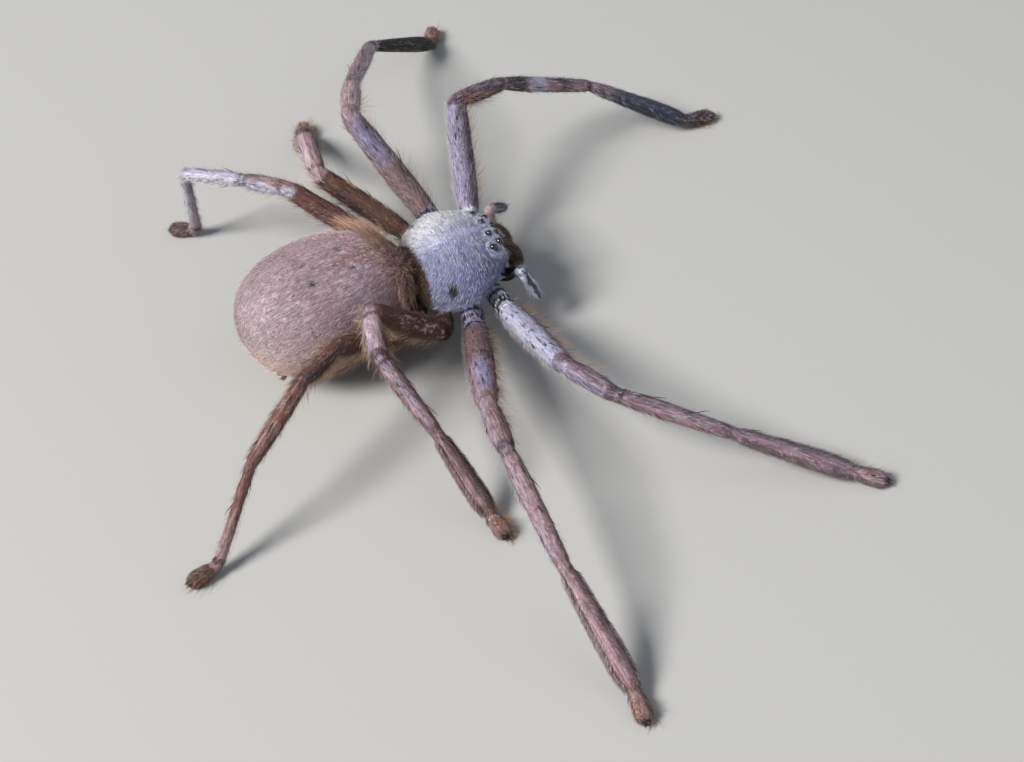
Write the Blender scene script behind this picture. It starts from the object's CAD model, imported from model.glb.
# %% [markdown]
# # A huntsman spider
# The spider stands life size on a pale floor, about 100 mm from foot to foot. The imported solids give
# its true places and sizes. This lesson covers them with one skin, a coat of hair that follows the
# lie of the real one, spines, eyes, fangs and claws. We start by loading the solids, which also tell
# us how big the finished model may be.

# %% Load the solids
import math

import bmesh
import bpy
import numpy as np
from mathutils import Matrix, Vector


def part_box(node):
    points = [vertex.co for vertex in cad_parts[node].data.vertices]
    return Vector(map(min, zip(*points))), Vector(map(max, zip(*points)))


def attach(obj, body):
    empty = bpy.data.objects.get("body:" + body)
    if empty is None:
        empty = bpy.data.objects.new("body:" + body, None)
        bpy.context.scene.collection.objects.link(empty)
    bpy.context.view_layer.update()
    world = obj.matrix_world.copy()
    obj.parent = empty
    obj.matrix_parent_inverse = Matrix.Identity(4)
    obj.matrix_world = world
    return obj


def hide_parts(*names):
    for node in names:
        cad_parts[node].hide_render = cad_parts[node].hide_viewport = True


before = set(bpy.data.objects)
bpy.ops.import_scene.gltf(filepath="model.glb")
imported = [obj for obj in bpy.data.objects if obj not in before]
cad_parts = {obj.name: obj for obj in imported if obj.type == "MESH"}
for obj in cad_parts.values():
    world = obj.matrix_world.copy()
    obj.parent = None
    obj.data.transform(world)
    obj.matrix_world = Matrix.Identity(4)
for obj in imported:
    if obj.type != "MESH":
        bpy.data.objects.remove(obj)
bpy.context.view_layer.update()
MM = 0.001
HAIR_SEED = 7
rng = np.random.default_rng(HAIR_SEED)


# %% [markdown]
# ## Directions
# A spider is easier to build in its own terms than in X, Y and Z. The front of this one faces -Y and
# its left side is +X, so a place is said as how far ahead, to the left and up it is, in millimetres.
# A leg segment is said as a bearing, measured from straight ahead towards the leg's own side, and a
# rise above the level. The whole front body leans a little to its right.

# %% Directions
SIDES = {"left": 1, "right": -1}


def at(ahead, left, up):
    return Vector((left, -ahead, up))


def heading(side, bearing, rise):
    bearing, rise = math.radians(bearing), math.radians(rise)
    flat = math.cos(rise)
    return at(math.cos(bearing) * flat, SIDES[side] * math.sin(bearing) * flat, math.sin(rise))


print("straight out to the left is", [round(value, 2) for value in heading("left", 90, 0)])

# %% [markdown]
# ## Body sizes
# These are the same driving sizes as the solids have. The carapace is the shield over the front body,
# a little dome that falls away steeply behind. Its height is also what the eyes sit on, so it is a
# function of its own.

# %% Body sizes
BODY_HEIGHT = 7.1
BODY_LEAN = 6.0
BODY_YAW = 8.0
BODY_TIP = 9.0
BODY_AHEAD = 0.4
BODY_ASIDE = 0.2
CARAPACE_LENGTH = 11.2
CARAPACE_WIDTH = 12.4
CARAPACE_RISE = 4.0
FULLNESS_AHEAD = 0.62
FULLNESS_BEHIND = 0.85
ARCH_AHEAD = 0.95
ARCH_BEHIND = 1.2
HEAD_NARROWING = 0.34
RIM = 0.35
STERNUM_LENGTH = 8.8
STERNUM_WIDTH = 6.0
STERNUM_DEPTH = 2.6
STERNUM_SET_BACK = 0.7
COXA_DEPTH = 1.4
ABDOMEN_LENGTH = 18.2
ABDOMEN_WIDTH = 14.3
ABDOMEN_HEIGHT = 12.6
ABDOMEN_BLUNTNESS = 0.85
ABDOMEN_BEHIND = 13.3
ABDOMEN_ASIDE = -0.4
ABDOMEN_CENTRE_HEIGHT = 7.4
ABDOMEN_YAW = 17.0
ABDOMEN_DROOP = 2.0
COAT = 0.09
EYE_SINK = 0.05

EYES = {
    "anterior_median": dict(ahead=5.0, beside=0.55, radius=0.27),
    "anterior_lateral": dict(ahead=4.75, beside=1.75, radius=0.37),
    "posterior_median": dict(ahead=4.2, beside=0.85, radius=0.3),
    "posterior_lateral": dict(ahead=3.85, beside=2.45, radius=0.35),
}


def carapace_half_width(share):
    slim = np.sqrt(np.maximum(0.0, 1 - share * share))
    narrowed = 1 - HEAD_NARROWING * np.maximum(share, 0)
    return CARAPACE_WIDTH / 2 * slim ** np.where(share > 0, FULLNESS_AHEAD, FULLNESS_BEHIND) * narrowed


def carapace_rise(share):
    slim = np.sqrt(np.maximum(0.0, 1 - share * share))
    return CARAPACE_RISE * slim ** np.where(share > 0, ARCH_AHEAD, ARCH_BEHIND)


def carapace_height(ahead, beside):
    share = ahead / (CARAPACE_LENGTH / 2)
    across = beside / carapace_half_width(share)
    return RIM + (carapace_rise(share) - RIM) * math.sqrt(1 - across**2)


print("the shield is", round(carapace_height(0, 0), 1), "mm high in its middle")

# %% [markdown]
# ## Where the body stands
# The solids are centred on the middle of their box, which is not the middle of the body. The eyes
# tell us where the body is: the two outer back ones have boxes whose middles are exactly on the eyes'
# middles, so the place halfway between them is on the body's midline.

# %% Where the body stands
def box_middle(name):
    low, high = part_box(name)
    return (Vector(low) + Vector(high)) / 2 / MM


stance = Matrix.Translation(at(0, 0, BODY_HEIGHT)) @ Matrix.Rotation(math.radians(-BODY_LEAN), 4, "Y")
turned = (
    Matrix.Translation(at(BODY_AHEAD, BODY_ASIDE, 0))
    @ Matrix.Rotation(math.radians(BODY_YAW), 4, "Z")
    @ Matrix.Rotation(math.radians(-BODY_TIP), 4, "X")
)
outer = EYES["posterior_lateral"]
eye_up = carapace_height(outer["ahead"], outer["beside"]) - EYE_SINK
eye_middles = [box_middle(f"eye_posterior_lateral_{side}") for side in SIDES]
SHIFT = sum(eye_middles, Vector()) / 2 - stance @ turned @ at(outer["ahead"], 0, eye_up)
STANCE = Matrix.Translation(SHIFT) @ stance
BODY = STANCE @ turned
ABDOMEN = (
    Matrix.Translation(SHIFT + at(-ABDOMEN_BEHIND, ABDOMEN_ASIDE, ABDOMEN_CENTRE_HEIGHT))
    @ Matrix.Rotation(math.radians(ABDOMEN_YAW), 4, "Z")
    @ Matrix.Rotation(math.radians(ABDOMEN_DROOP), 4, "X")
)


def on_body(ahead, left, up):
    return BODY @ at(ahead, left, up)


print("body stands at", [round(value, 2) for value in SHIFT])

# %% [markdown]
# ## The camera
# The camera looks down on the spider's right side from a little behind, as a person would who bends
# over a table. It comes before the shapes, so that each one can be judged from the right place.

# %% The camera
LOOK = at(2.3, -11.1, 0)
CAMERA_BEARING = 78.6
CAMERA_RISE = -47.6
CAMERA_ROLL = -8.0
CAMERA_DISTANCE = 189.2
CAMERA_LENS = 66.65
SENSOR_WIDTH = 36


def new_object(name, data):
    """An object that shows this data, put into the scene."""
    item = bpy.data.objects.new(name, data)
    bpy.context.collection.objects.link(item)
    return item


forward = heading("left", CAMERA_BEARING, CAMERA_RISE)
level = forward.cross(Vector((0, 0, 1))).normalized()
upright = level.cross(forward)
roll = math.radians(CAMERA_ROLL)
right = level * math.cos(roll) + upright * math.sin(roll)
camera = new_object("camera", bpy.data.cameras.new("camera"))
aim = Matrix((right, right.cross(forward), -forward)).transposed().to_4x4()
camera.matrix_world = Matrix.Translation((LOOK + SHIFT - forward * CAMERA_DISTANCE) * MM) @ aim
camera.data.sensor_width = SENSOR_WIDTH
camera.data.lens = CAMERA_LENS
camera.data.clip_start = 0.001
bpy.context.scene.camera = camera
print("camera is", round(camera.location.z / MM), "mm above the floor")

# %% [markdown]
# ## Legs
# A leg has a hip joint and five segments after it: femur, patella, tibia, metatarsus and tarsus. One
# table holds how long and thick they are in each pair, and another the pose. The metatarsus is not
# given a rise, because it comes down as far as the floor is.

# %% Leg sizes and pose
ANKLE_HEIGHT = 1.15
TOE_HEIGHT = 0.52
SOCKET_INSET = 0.85
SOCKET_DROP = 0.05
HIP_LIFT = 0.1
HIPS = {1: (3.8, 6.5), 2: (0.1, 7.5), 3: (-3.0, 7.0), 4: (-5.6, 5.7)}
SOCKETS = {1: 26, 2: 67, 3: 104, 4: 141}
LENGTHS = {
    1: (12.7, 6.3, 11.4, 11.8, 3.6),
    2: (14.2, 6.9, 12.6, 12.2, 3.4),
    3: (10.6, 5.7, 8.7, 9.2, 3.1),
    4: (11.5, 5.0, 9.3, 10.2, 3.3),
}
RADII = {
    1: (1.25, 1.02, 0.9, 0.85, 0.8),
    2: (1.35, 1.08, 0.93, 0.86, 0.8),
    3: (1.2, 1.0, 0.87, 0.8, 0.78),
    4: (1.15, 0.95, 0.82, 0.7, 0.78),
}
POSES = {
    ("left", 1): dict(bearings=(77, 24, 10, -19, 3), rises=(32, -13, -26)),
    ("left", 2): dict(bearings=(113, 76, 69, 38, 72), rises=(28, -9, -20)),
    ("left", 3): dict(bearings=(136, 92, 90, 80, 88), rises=(27, 15, -50)),
    ("left", 4): dict(bearings=(152, 139, 131, 98, 148), rises=(40, -2, -16)),
    ("right", 1): dict(bearings=(80, 60, 30, 30, 35), rises=(15, 1, -19)),
    ("right", 2): dict(bearings=(100, 91, 85, 76, 90), rises=(16, 7, -10)),
    ("right", 3): dict(bearings=(162, 97, 66, 64, 75), rises=(47, -3, -32)),
    ("right", 4): dict(bearings=(149, 138, 141, 143, 166), rises=(31, 6, -19)),
}


def leg_joints(side, pair):
    """Socket, hip, knee, patella's end, tibia's end, ankle and toe."""
    pose, lengths = POSES[side, pair], LENGTHS[pair]
    ahead, beside = HIPS[pair]
    angle = math.radians(SOCKETS[pair])
    socket_ahead = -STERNUM_SET_BACK + math.cos(angle) * STERNUM_LENGTH / 2 * SOCKET_INSET
    socket_beside = math.sin(angle) * STERNUM_WIDTH / 2 * SOCKET_INSET
    joints = [
        STANCE @ at(socket_ahead, SIDES[side] * socket_beside, -COXA_DEPTH - SOCKET_DROP),
        STANCE @ at(ahead, SIDES[side] * beside, -COXA_DEPTH + HIP_LIFT),
    ]
    for length, bearing, rise in zip(lengths, pose["bearings"], pose["rises"]):
        joints.append(joints[-1] + heading(side, bearing, rise) * length)
    for i, height in ((3, ANKLE_HEIGHT), (4, TOE_HEIGHT)):
        rise = math.degrees(math.asin((height - joints[-1].z) / lengths[i]))
        joints.append(joints[-1] + heading(side, pose["bearings"][i], rise) * lengths[i])
    return joints


knee = leg_joints("right", 2)[2]
patella_low = Vector(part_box("patella_right_2")[0]) / MM
print("the second right knee is at", [round(value, 1) for value in knee])
print("its patella's box starts at", [round(value, 1) for value in patella_low])

# %% [markdown]
# ## Limbs as lists of segments
# The skin, the markings and the hair all need to know which segment a point is on, how far along it,
# and whether it is on the front, the top, the back or the underside. So each limb is kept as a few
# straight segments with a direction and a radius, and the legs, jaws and feelers share one format.

# %% Limb segments
BODY_KINDS = ("carapace", "underbody", "abdomen", "spinnerets", "chelicera", "palp")
LEG_KINDS = ("coxa", "femur", "patella", "tibia", "metatarsus", "tarsus")
KINDS = BODY_KINDS + LEG_KINDS
CODE = {kind: number for number, kind in enumerate(KINDS)}
SPINDLE = ((0, 0.84), (0.14, 0.98), (0.35, 1.04), (0.62, 1.0), (0.86, 0.92), (1, 0.84))
BRUSHED = ((0, 0.82), (0.12, 0.88), (0.35, 1.02), (0.62, 1.17), (0.84, 1.2), (0.95, 0.98), (1, 0.8))
SLENDER = ((0, 0.82), (0.12, 0.84), (0.4, 0.83), (0.7, 0.86), (1, 0.86))
PROFILES = {
    "coxa": ((0, 0.76), (0.45, 0.8), (0.7, 0.92), (1, 0.86)),
    "femur": SPINDLE,
    "patella": ((0, 0.86), (0.3, 1.0), (0.7, 1.0), (1, 0.86)),
    "tibia": SPINDLE,
    "metatarsus": BRUSHED,
    "tarsus": ((0, 0.74), (0.12, 0.8), (0.4, 0.95), (0.75, 1.1), (1, 0.9)),
}
CHELICERA_PATH = (
    (4.8, 1.3, 0.3),
    (5.45, 1.32, -0.5),
    (5.8, 1.33, -1.7),
    (5.8, 1.3, -3.0),
    (5.45, 1.25, -4.1),
)
CHELICERA_RADII = (0.8, 0.93, 0.98, 0.9, 0.75)
PALP_BASES = {
    "left": ((3.75, 0.45, -2.8), (4.15, 2.15, -3.05), (5.4, 3.5, -2.4)),
    "right": ((3.85, 0.5, -2.6), (4.05, 2.1, -2.63), (5.05, 3.35, -1.8)),
}
PALP_KNEES = {"left": (6.0, 4.3, -0.4), "right": (5.3, 4.7, -0.4)}
PALP_TIPS = {"left": (8.0, 5.6, -3.1), "right": (5.9, 6.2, -4.0)}
PALP_RADII = (0.56, 0.56, 0.6, 0.62, 0.6, 0.7, 0.66, 0.42)
PALP_SHARES = (0.5, 0.36, 0.68)


def body_path(side, places):
    """A path on one half of the body, as points in space."""
    return [on_body(ahead, SIDES[side] * beside, up) for ahead, beside, up in places]


def palp_path(side):
    """A feeler's joints: its base, an elbow, the knee, two joints below it and the tip."""
    base, knee, tip = PALP_BASES[side], Vector(PALP_KNEES[side]), Vector(PALP_TIPS[side])
    elbow, upper, lower = PALP_SHARES
    below = [knee.lerp(tip, upper), knee.lerp(tip, lower)]
    return body_path(side, [*base, Vector(base[-1]).lerp(knee, elbow), knee, *below, tip])


def profile_of(kind, pair):
    """How thick a segment is along its length; the last pair has no brush on its metatarsus."""
    return SLENDER if kind == "metatarsus" and pair == 4 else PROFILES[kind]


def add_limb(name, side, pair, joints, kinds, radii):
    limbs.append(dict(name=name, side=side, pair=pair, joints=joints, kinds=kinds, radii=radii))


limbs = []
for side in SIDES:
    for pair, radii in RADII.items():
        add_limb(f"leg_{side}_{pair}", side, pair, leg_joints(side, pair), LEG_KINDS, (radii[0], *radii))
    jaw = body_path(side, CHELICERA_PATH)
    add_limb(f"chelicera_{side}", side, 0, jaw, ["chelicera"] * 4, CHELICERA_RADII)
    add_limb(f"palp_{side}", side, 0, palp_path(side), ["palp"] * 7, PALP_RADII)
print(len(limbs), "limbs")

# %% [markdown]
# ## A limb's tube
# A limb could be a stack of cones, but its knees would be sharp. Here the path is sampled every fifth
# of a millimetre and then eased, which rounds each bend, and the radius comes from the segment's own
# profile. Each joint is nipped in a little, because a soft membrane joins the hard segments there.

# %% Tubes along a path
STEP = 0.2
EASING = 5
NIP = 0.05
NIP_REACH = 0.28
TIP_ROUNDING = 1.2
TIP_LEAST = 0.12
FAR_OFF = 9.0


def unit(vectors):
    return vectors / np.maximum(np.linalg.norm(vectors, axis=-1, keepdims=True), 1e-12)


def bump(distance, width):
    """1 at no distance, falling smoothly to 0."""
    return np.exp(-((distance / width) ** 2))


def eased(values, rounds):
    """Draws each value towards its neighbours, which rounds every bend."""
    values = values.copy()
    for _ in range(rounds):
        values[1:-1] = (values[:-2] + 2 * values[1:-1] + values[2:]) / 4
    return values


def limb_samples(limb):
    """Points along a limb, and its radius at each."""
    joints = np.array([tuple(joint) for joint in limb["joints"]])
    points, radii, gaps = [], [], []
    for i, kind in enumerate(limb["kinds"]):
        start, end = joints[i], joints[i + 1]
        length = np.linalg.norm(end - start)
        shares = np.arange(0, 1, STEP / length)
        if kind in ("chelicera", "palp"):
            radius = limb["radii"][i] + (limb["radii"][i + 1] - limb["radii"][i]) * shares
        else:
            radius = limb["radii"][i] * np.interp(shares, *zip(*profile_of(kind, limb["pair"])))
        to_joint = np.minimum(shares, 1 - shares) * length
        points.append(start + (end - start) * shares[:, None])
        radii.append(radius - COAT)
        gaps.append(to_joint if kind != "chelicera" else np.full(len(shares), FAR_OFF))
    points, radii, gaps = (np.concatenate(rows) for rows in (points, radii, gaps))
    points, radii = eased(points, EASING), eased(radii, EASING)
    to_end = np.linalg.norm(points - points[-1], axis=1)
    tip = np.minimum(1, to_end / (radii[-1] * TIP_ROUNDING))
    rounded = np.sqrt(1 - (1 - tip) ** 2).clip(TIP_LEAST, 1)
    return points, radii * (1 - NIP * bump(gaps, NIP_REACH)) * rounded


def tube(points, radii, sides=20, flat=0.94):
    """Rings of points round a path, joined into a closed skin."""
    ahead = unit(np.gradient(points, axis=0))
    level = unit(np.cross(ahead, (0.0, 0.0, 1.0)))
    upward = np.cross(level, ahead)
    turns = np.arange(sides) * 2 * math.pi / sides
    sideways = level[:, None] * np.cos(turns)[None, :, None]
    vertical = upward[:, None] * np.sin(turns)[None, :, None] * flat
    verts = (points[:, None] + radii[:, None, None] * (sideways + vertical)).reshape(-1, 3)
    faces = []
    for ring in range(len(points) - 1):
        for i in range(sides):
            low, high = ring * sides, (ring + 1) * sides
            j = (i + 1) % sides
            faces.append((low + i, low + j, high + j, high + i))
    last = (len(points) - 1) * sides
    faces.append(tuple(range(sides))[::-1])
    faces.append(tuple(last + i for i in range(sides)))
    return verts, faces


forms = [tube(*limb_samples(limb)) for limb in limbs]
print(sum(len(faces) for _, faces in forms), "faces in the limbs' tubes")

# %% [markdown]
# ## Body forms
# The shield, the plate under it and the abdomen are each a sphere that a formula reshapes. A low core
# fills the place between shield and plate, where the real spider has a soft wall around its hips. The
# abdomen is soft too, so it gives way where the hind thighs lie against it.

# %% Body forms
RIM_TUCK = 0.985
STERNUM_DROP = 0.3
PLEURA_HALVES = (4.7, 4.0, 1.5)
PLEURA_SET_BACK = 0.4
PLEURA_DROP = 0.6
ABDOMEN_EGG = 0.07
THIGH_ROOM = RADII[4][0] * 1.05 + 0.42
THIGHS = [leg_joints(side, 4)[i : i + 2] for side in SIDES for i in (0, 1)]


def ball(shape, columns=72, rows=48):
    """A sphere whose points a formula moves."""
    bm = bmesh.new()
    bmesh.ops.create_uvsphere(bm, u_segments=columns, v_segments=rows, radius=1)
    verts = np.array([tuple(shape(vertex.co)) for vertex in bm.verts])
    faces = [tuple(vertex.index for vertex in face.verts) for face in bm.faces]
    bm.free()
    return verts, faces


def carapace_form(point):
    ahead = max(-1.0, min(1.0, -point.y))
    slim = math.sqrt(max(1e-9, 1 - ahead * ahead))
    across, up = point.x / slim, point.z / slim
    rise = float(carapace_rise(ahead)) - COAT
    height = RIM + (rise - RIM) * up if up > 0 else RIM + 0.5 * up
    beside = across * float(carapace_half_width(ahead)) * RIM_TUCK
    return on_body(ahead * (CARAPACE_LENGTH / 2 - COAT), beside, height)


def sternum_form(point):
    size = (STERNUM_LENGTH / 2 - COAT, STERNUM_WIDTH / 2 - COAT, STERNUM_DEPTH / 2)
    up = -STERNUM_DROP + (point.z - 1) * size[2]
    return on_body(-STERNUM_SET_BACK - point.y * size[0], point.x * size[1], up)


def pleura_form(point):
    long, wide, deep = PLEURA_HALVES
    return on_body(-PLEURA_SET_BACK - point.y * long, point.x * wide, -PLEURA_DROP + point.z * deep)


def abdomen_form(point):
    """An egg, fuller behind, pressed in a little where a hind thigh crosses it."""
    slim = math.sqrt(max(1e-9, 1 - point.y * point.y))
    fuller = (1 + ABDOMEN_EGG * point.y) * slim ** (ABDOMEN_BLUNTNESS - 1)
    halves = [size / 2 - COAT for size in (ABDOMEN_LENGTH, ABDOMEN_WIDTH, ABDOMEN_HEIGHT)]
    spot = ABDOMEN @ at(-point.y * halves[0], point.x * fuller * halves[1], point.z * fuller * halves[2])
    for hip, knee in THIGHS:
        thigh = knee - hip
        nearest = hip + thigh * max(0, min(1, (spot - hip).dot(thigh) / thigh.length_squared))
        away = spot - nearest
        if away.length < THIGH_ROOM:
            spot += away.normalized() * (THIGH_ROOM - away.length)
    return spot


forms += [ball(shape) for shape in (carapace_form, sternum_form, pleura_form, abdomen_form)]
print(len(THIGHS), "hips and thighs press on the abdomen, each within", round(THIGH_ROOM, 2), "mm")

# %% [markdown]
# ## Spinnerets, lip and waist
# The spinnerets, which let out the silk, are three pairs of short cones on a mound under the tip of the
# abdomen. The lip lies between the jaws' roots, and the waist is a thin stalk that joins the front body
# to the abdomen. Each is a straight tube whose radius changes along it.

# %% Spinnerets, lip and waist
SPINNERET_PLACE = ABDOMEN @ at(-ABDOMEN_LENGTH / 2 * 0.5, 0, -ABDOMEN_HEIGHT / 2 * 0.86)
SPINNERET_BACK = (ABDOMEN.to_3x3() @ at(-1, 0, -0.35)).normalized()
SPINNERET_MOUND = 0.98
SPINNERETS = ((0.3, 0.45, 1.0, 0.34), (-0.1, 0.3, 0.7, 0.28), (-0.5, 0.45, 0.8, 0.32))
LABIUM_RADII = (0.86, 0.86, 0.7)
WAIST_RADII = (0.66, 0.6, 0.66)


def straight_tube(start, end, radii):
    shares = np.linspace(0, 1, 16)
    points = np.array(start) + (np.array(end) - np.array(start)) * shares[:, None]
    return tube(points, np.interp(shares, np.linspace(0, 1, len(radii)), radii))


forms.append(ball(lambda point: SPINNERET_PLACE + point * SPINNERET_MOUND, 24, 16))
for up, beside, length, radius in SPINNERETS:
    for turn in SIDES.values():
        root = SPINNERET_PLACE + SPINNERET_BACK * 0.5 + at(0, turn * beside, up)
        tip = root + (SPINNERET_BACK + at(0, turn * 0.16, up * 0.2)).normalized() * (length + 0.6)
        forms.append(straight_tube(root, tip, (radius, radius * 0.9, radius * 0.5)))
forms.append(straight_tube(on_body(2.6, 0, -2.0), on_body(4.3, 0, -2.0), LABIUM_RADII))
waist_end = ABDOMEN @ at(ABDOMEN_LENGTH / 2 - 1.9, -1.8, -1.2)
forms.append(straight_tube(on_body(-3.9, 0, -1.6), waist_end, WAIST_RADII))
print(len(forms), "forms to fuse")

# %% [markdown]
# ## One skin
# The forms cross each other at the hips and the jaws. A Boolean union would leave a hard crease at
# each crossing, so they are fused by a voxel remesh, which follows the outside of all of them and
# leaves small soft fillets. The result is then brought under 200,000 triangles.

# %% One skin
VOXEL = 0.12
SKIN_TRIANGLES = 190_000


def mesh_object(name, verts, faces):
    mesh = bpy.data.meshes.new(name)
    mesh.from_pydata([tuple(vertex) for vertex in np.asarray(verts) * MM], [], faces)
    return new_object(name, mesh)


def gather(parts):
    """Several forms' points and faces as one list of each."""
    starts = np.cumsum([0] + [len(verts) for verts, _ in parts])
    joined_faces = []
    for (_, faces), start in zip(parts, starts):
        joined_faces += [tuple(int(i + start) for i in face) for face in faces]
    return np.concatenate([verts for verts, _ in parts]), joined_faces


def apply_modifier(item, kind, **settings):
    modifier = item.modifiers.new("step", kind)
    for name, value in settings.items():
        setattr(modifier, name, value)
    shown = item.evaluated_get(bpy.context.evaluated_depsgraph_get())
    result = bpy.data.meshes.new_from_object(shown)
    item.modifiers.clear()
    old, item.data = item.data, result
    bpy.data.meshes.remove(old)
    item.data.name = item.name


skin = mesh_object("skin", *gather(forms))
apply_modifier(skin, "REMESH", mode="VOXEL", voxel_size=VOXEL * MM)
apply_modifier(skin, "TRIANGULATE")
fused = len(skin.data.polygons)
apply_modifier(skin, "DECIMATE", ratio=min(1.0, SKIN_TRIANGLES / fused))
print("skin:", fused, "triangles, then", len(skin.data.polygons))

# %% [markdown]
# ## Where on the body is a point?
# Markings and hair follow the body, so we need to turn a place in space into words: which part it is
# on, how far along that part, and at what angle round it, with 0 at its front side, 90 on top and
# -90 below. The nearest limb segment wins, measured from its surface and not from its axis.

# %% Body places
LIMB_REACH = 0.55
LIMB_FULLNESS = 0.92
BELLY_REACH = 0.35
BELLY_MEAN_HALF = 6.0
SPINNERET_REACH = 1.9
SHIELD_BASE = 0.12


def rows_of(make):
    return np.array([make(limb, i) for limb in limbs for i in range(len(limb["kinds"]))], dtype=float)


SEG_START = rows_of(lambda limb, i: tuple(limb["joints"][i]))
SEG_END = rows_of(lambda limb, i: tuple(limb["joints"][i + 1]))
SEG_RADIUS = rows_of(lambda limb, i: limb["radii"][i])
SEG_KIND = rows_of(lambda limb, i: CODE[limb["kinds"][i]]).astype(int)
SEG_LIMB = rows_of(lambda limb, i: limbs.index(limb)).astype(int)
SEG_TURN = rows_of(lambda limb, i: SIDES[limb["side"]])
SEG_LENGTH = np.linalg.norm(SEG_END - SEG_START, axis=1)
SEG_WAY = unit(SEG_END - SEG_START)
SEG_FRONT = unit(np.cross(SEG_WAY, (0.0, 0.0, 1.0))) * SEG_TURN[:, None]
SEG_UP = np.cross(SEG_FRONT * SEG_TURN[:, None], SEG_WAY)
LIMB_LENGTH = np.array([SEG_LENGTH[SEG_LIMB == i].sum() for i in range(len(limbs))])
SEG_BEFORE = np.cumsum(SEG_LENGTH) - SEG_LENGTH - (np.cumsum(LIMB_LENGTH) - LIMB_LENGTH)[SEG_LIMB]


def into(matrix, points):
    """Places in a body part's own frame: ahead, left and up."""
    inverse = np.array(matrix.inverted())
    local = points @ inverse[:3, :3].T + inverse[:3, 3]
    return np.stack([-local[:, 1], local[:, 0], local[:, 2]], axis=1)


def out_of(matrix, ahead, left, up):
    turn = np.array(matrix.to_3x3())
    return np.stack([left, -ahead, up], axis=1) @ turn.T


def degrees_round(left, up):
    return np.degrees(np.arctan2(up, left))


print(len(SEG_START), "segments in", len(limbs), "limbs")

# %% [markdown]
# ## Finding the part
# One function looks every point up, all points at once. Limbs come first, and the shield, the abdomen
# and the spinnerets then claim what lies within their own outlines. It gives each point's part, its
# share along the part and its angle round it, which is all that the markings and the hair ask for.

# %% Finding the part
def nearest_segment(points):
    """The limb segment whose surface is nearest to each point, or -1, and how near it is."""
    best = np.full(len(points), LIMB_REACH)
    segment = np.full(len(points), -1)
    for s in range(len(SEG_START)):
        offset = points - SEG_START[s]
        along = (offset @ SEG_WAY[s]).clip(0, SEG_LENGTH[s])
        from_axis = np.linalg.norm(offset - along[:, None] * SEG_WAY[s], axis=1)
        gap = np.abs(from_axis - SEG_RADIUS[s] * LIMB_FULLNESS)
        nearer = gap < best
        best[nearer], segment[nearer] = gap[nearer], s
    return segment, best


def locate(points):
    """Which part each point is on, and where on it."""
    segment, best = nearest_segment(points)
    front, belly = into(BODY, points), into(ABDOMEN, points)
    share = (belly[:, 0] / (ABDOMEN_LENGTH / 2)).clip(-0.995, 0.995)
    fuller = (1 - ABDOMEN_EGG * share) * np.sqrt(1 - share**2) ** (ABDOMEN_BLUNTNESS - 1)
    halves = np.array([ABDOMEN_LENGTH, ABDOMEN_WIDTH, ABDOMEN_HEIGHT]) / 2
    scaled = belly / halves / np.stack([np.ones(len(points)), fuller, fuller], axis=1)
    off_belly = np.abs(np.linalg.norm(scaled, axis=1) - 1) * BELLY_MEAN_HALF
    spinner = np.linalg.norm(points - np.array(SPINNERET_PLACE + SPINNERET_BACK * 0.8), axis=1)
    shield_share = front[:, 0] / (CARAPACE_LENGTH / 2)
    half_width = carapace_half_width(shield_share.clip(-0.97, 0.97)) + 0.3
    over_shield = (np.abs(shield_share) < 1.03) & (np.abs(front[:, 1]) < half_width)
    over_shield &= (front[:, 2] > SHIELD_BASE) & (front[:, 2] < CARAPACE_RISE + 0.5)
    kind = np.where(segment >= 0, SEG_KIND[segment], CODE["underbody"])
    kind = np.where(over_shield & (kind != CODE["chelicera"]), CODE["carapace"], kind)
    kind = np.where((off_belly < BELLY_REACH) & (off_belly < best), CODE["abdomen"], kind)
    kind = np.where((spinner < SPINNERET_REACH) & (off_belly > 0.2), CODE["spinnerets"], kind)
    segment = np.where(kind < CODE["chelicera"], -1, segment)
    s = segment.clip(0)
    offset = points - SEG_START[s]
    run = (offset * SEG_WAY[s]).sum(1)
    side_way = offset - run[:, None] * SEG_WAY[s]
    limb_turn = degrees_round((side_way * SEG_FRONT[s]).sum(1), (side_way * SEG_UP[s]).sum(1))
    belly_turn = degrees_round(belly[:, 1], belly[:, 2])
    front_turn = degrees_round(front[:, 1], front[:, 2])
    on_belly = np.isin(kind, (CODE["abdomen"], CODE["spinnerets"]))
    share = np.where(on_belly, scaled[:, 0], front[:, 0] / (CARAPACE_LENGTH / 2)).clip(-1, 1)
    return dict(
        kind=kind,
        segment=segment,
        limb=np.where(segment < 0, -1, SEG_LIMB[s]),
        along=np.where(segment < 0, share, run / SEG_LENGTH[s]),
        around=np.where(segment < 0, np.where(on_belly, belly_turn, front_turn), limb_turn),
        run=np.where(segment < 0, 0, SEG_BEFORE[s] + run),
        front=front,
        belly=belly,
        points=points,
    )


top_of_shield = np.array([tuple(on_body(0, 0, CARAPACE_RISE))])
print("the top of the shield is found on the", KINDS[locate(top_of_shield)["kind"][0]])

# %% [markdown]
# ## The grain of the coat
# Hair lies along a limb, back over the abdomen and outwards over the shield. Millimetres along that lie
# and across it make a pair of coordinates, in which a fine line of hair is simply a long thin blot. A
# third coordinate keeps the lines of one limb apart from those of the next.

# %% The grain of the coat
BELLY_ROUND = 5.5
LIMB_APART = 3.0
BODY_APART = 50.0


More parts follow.
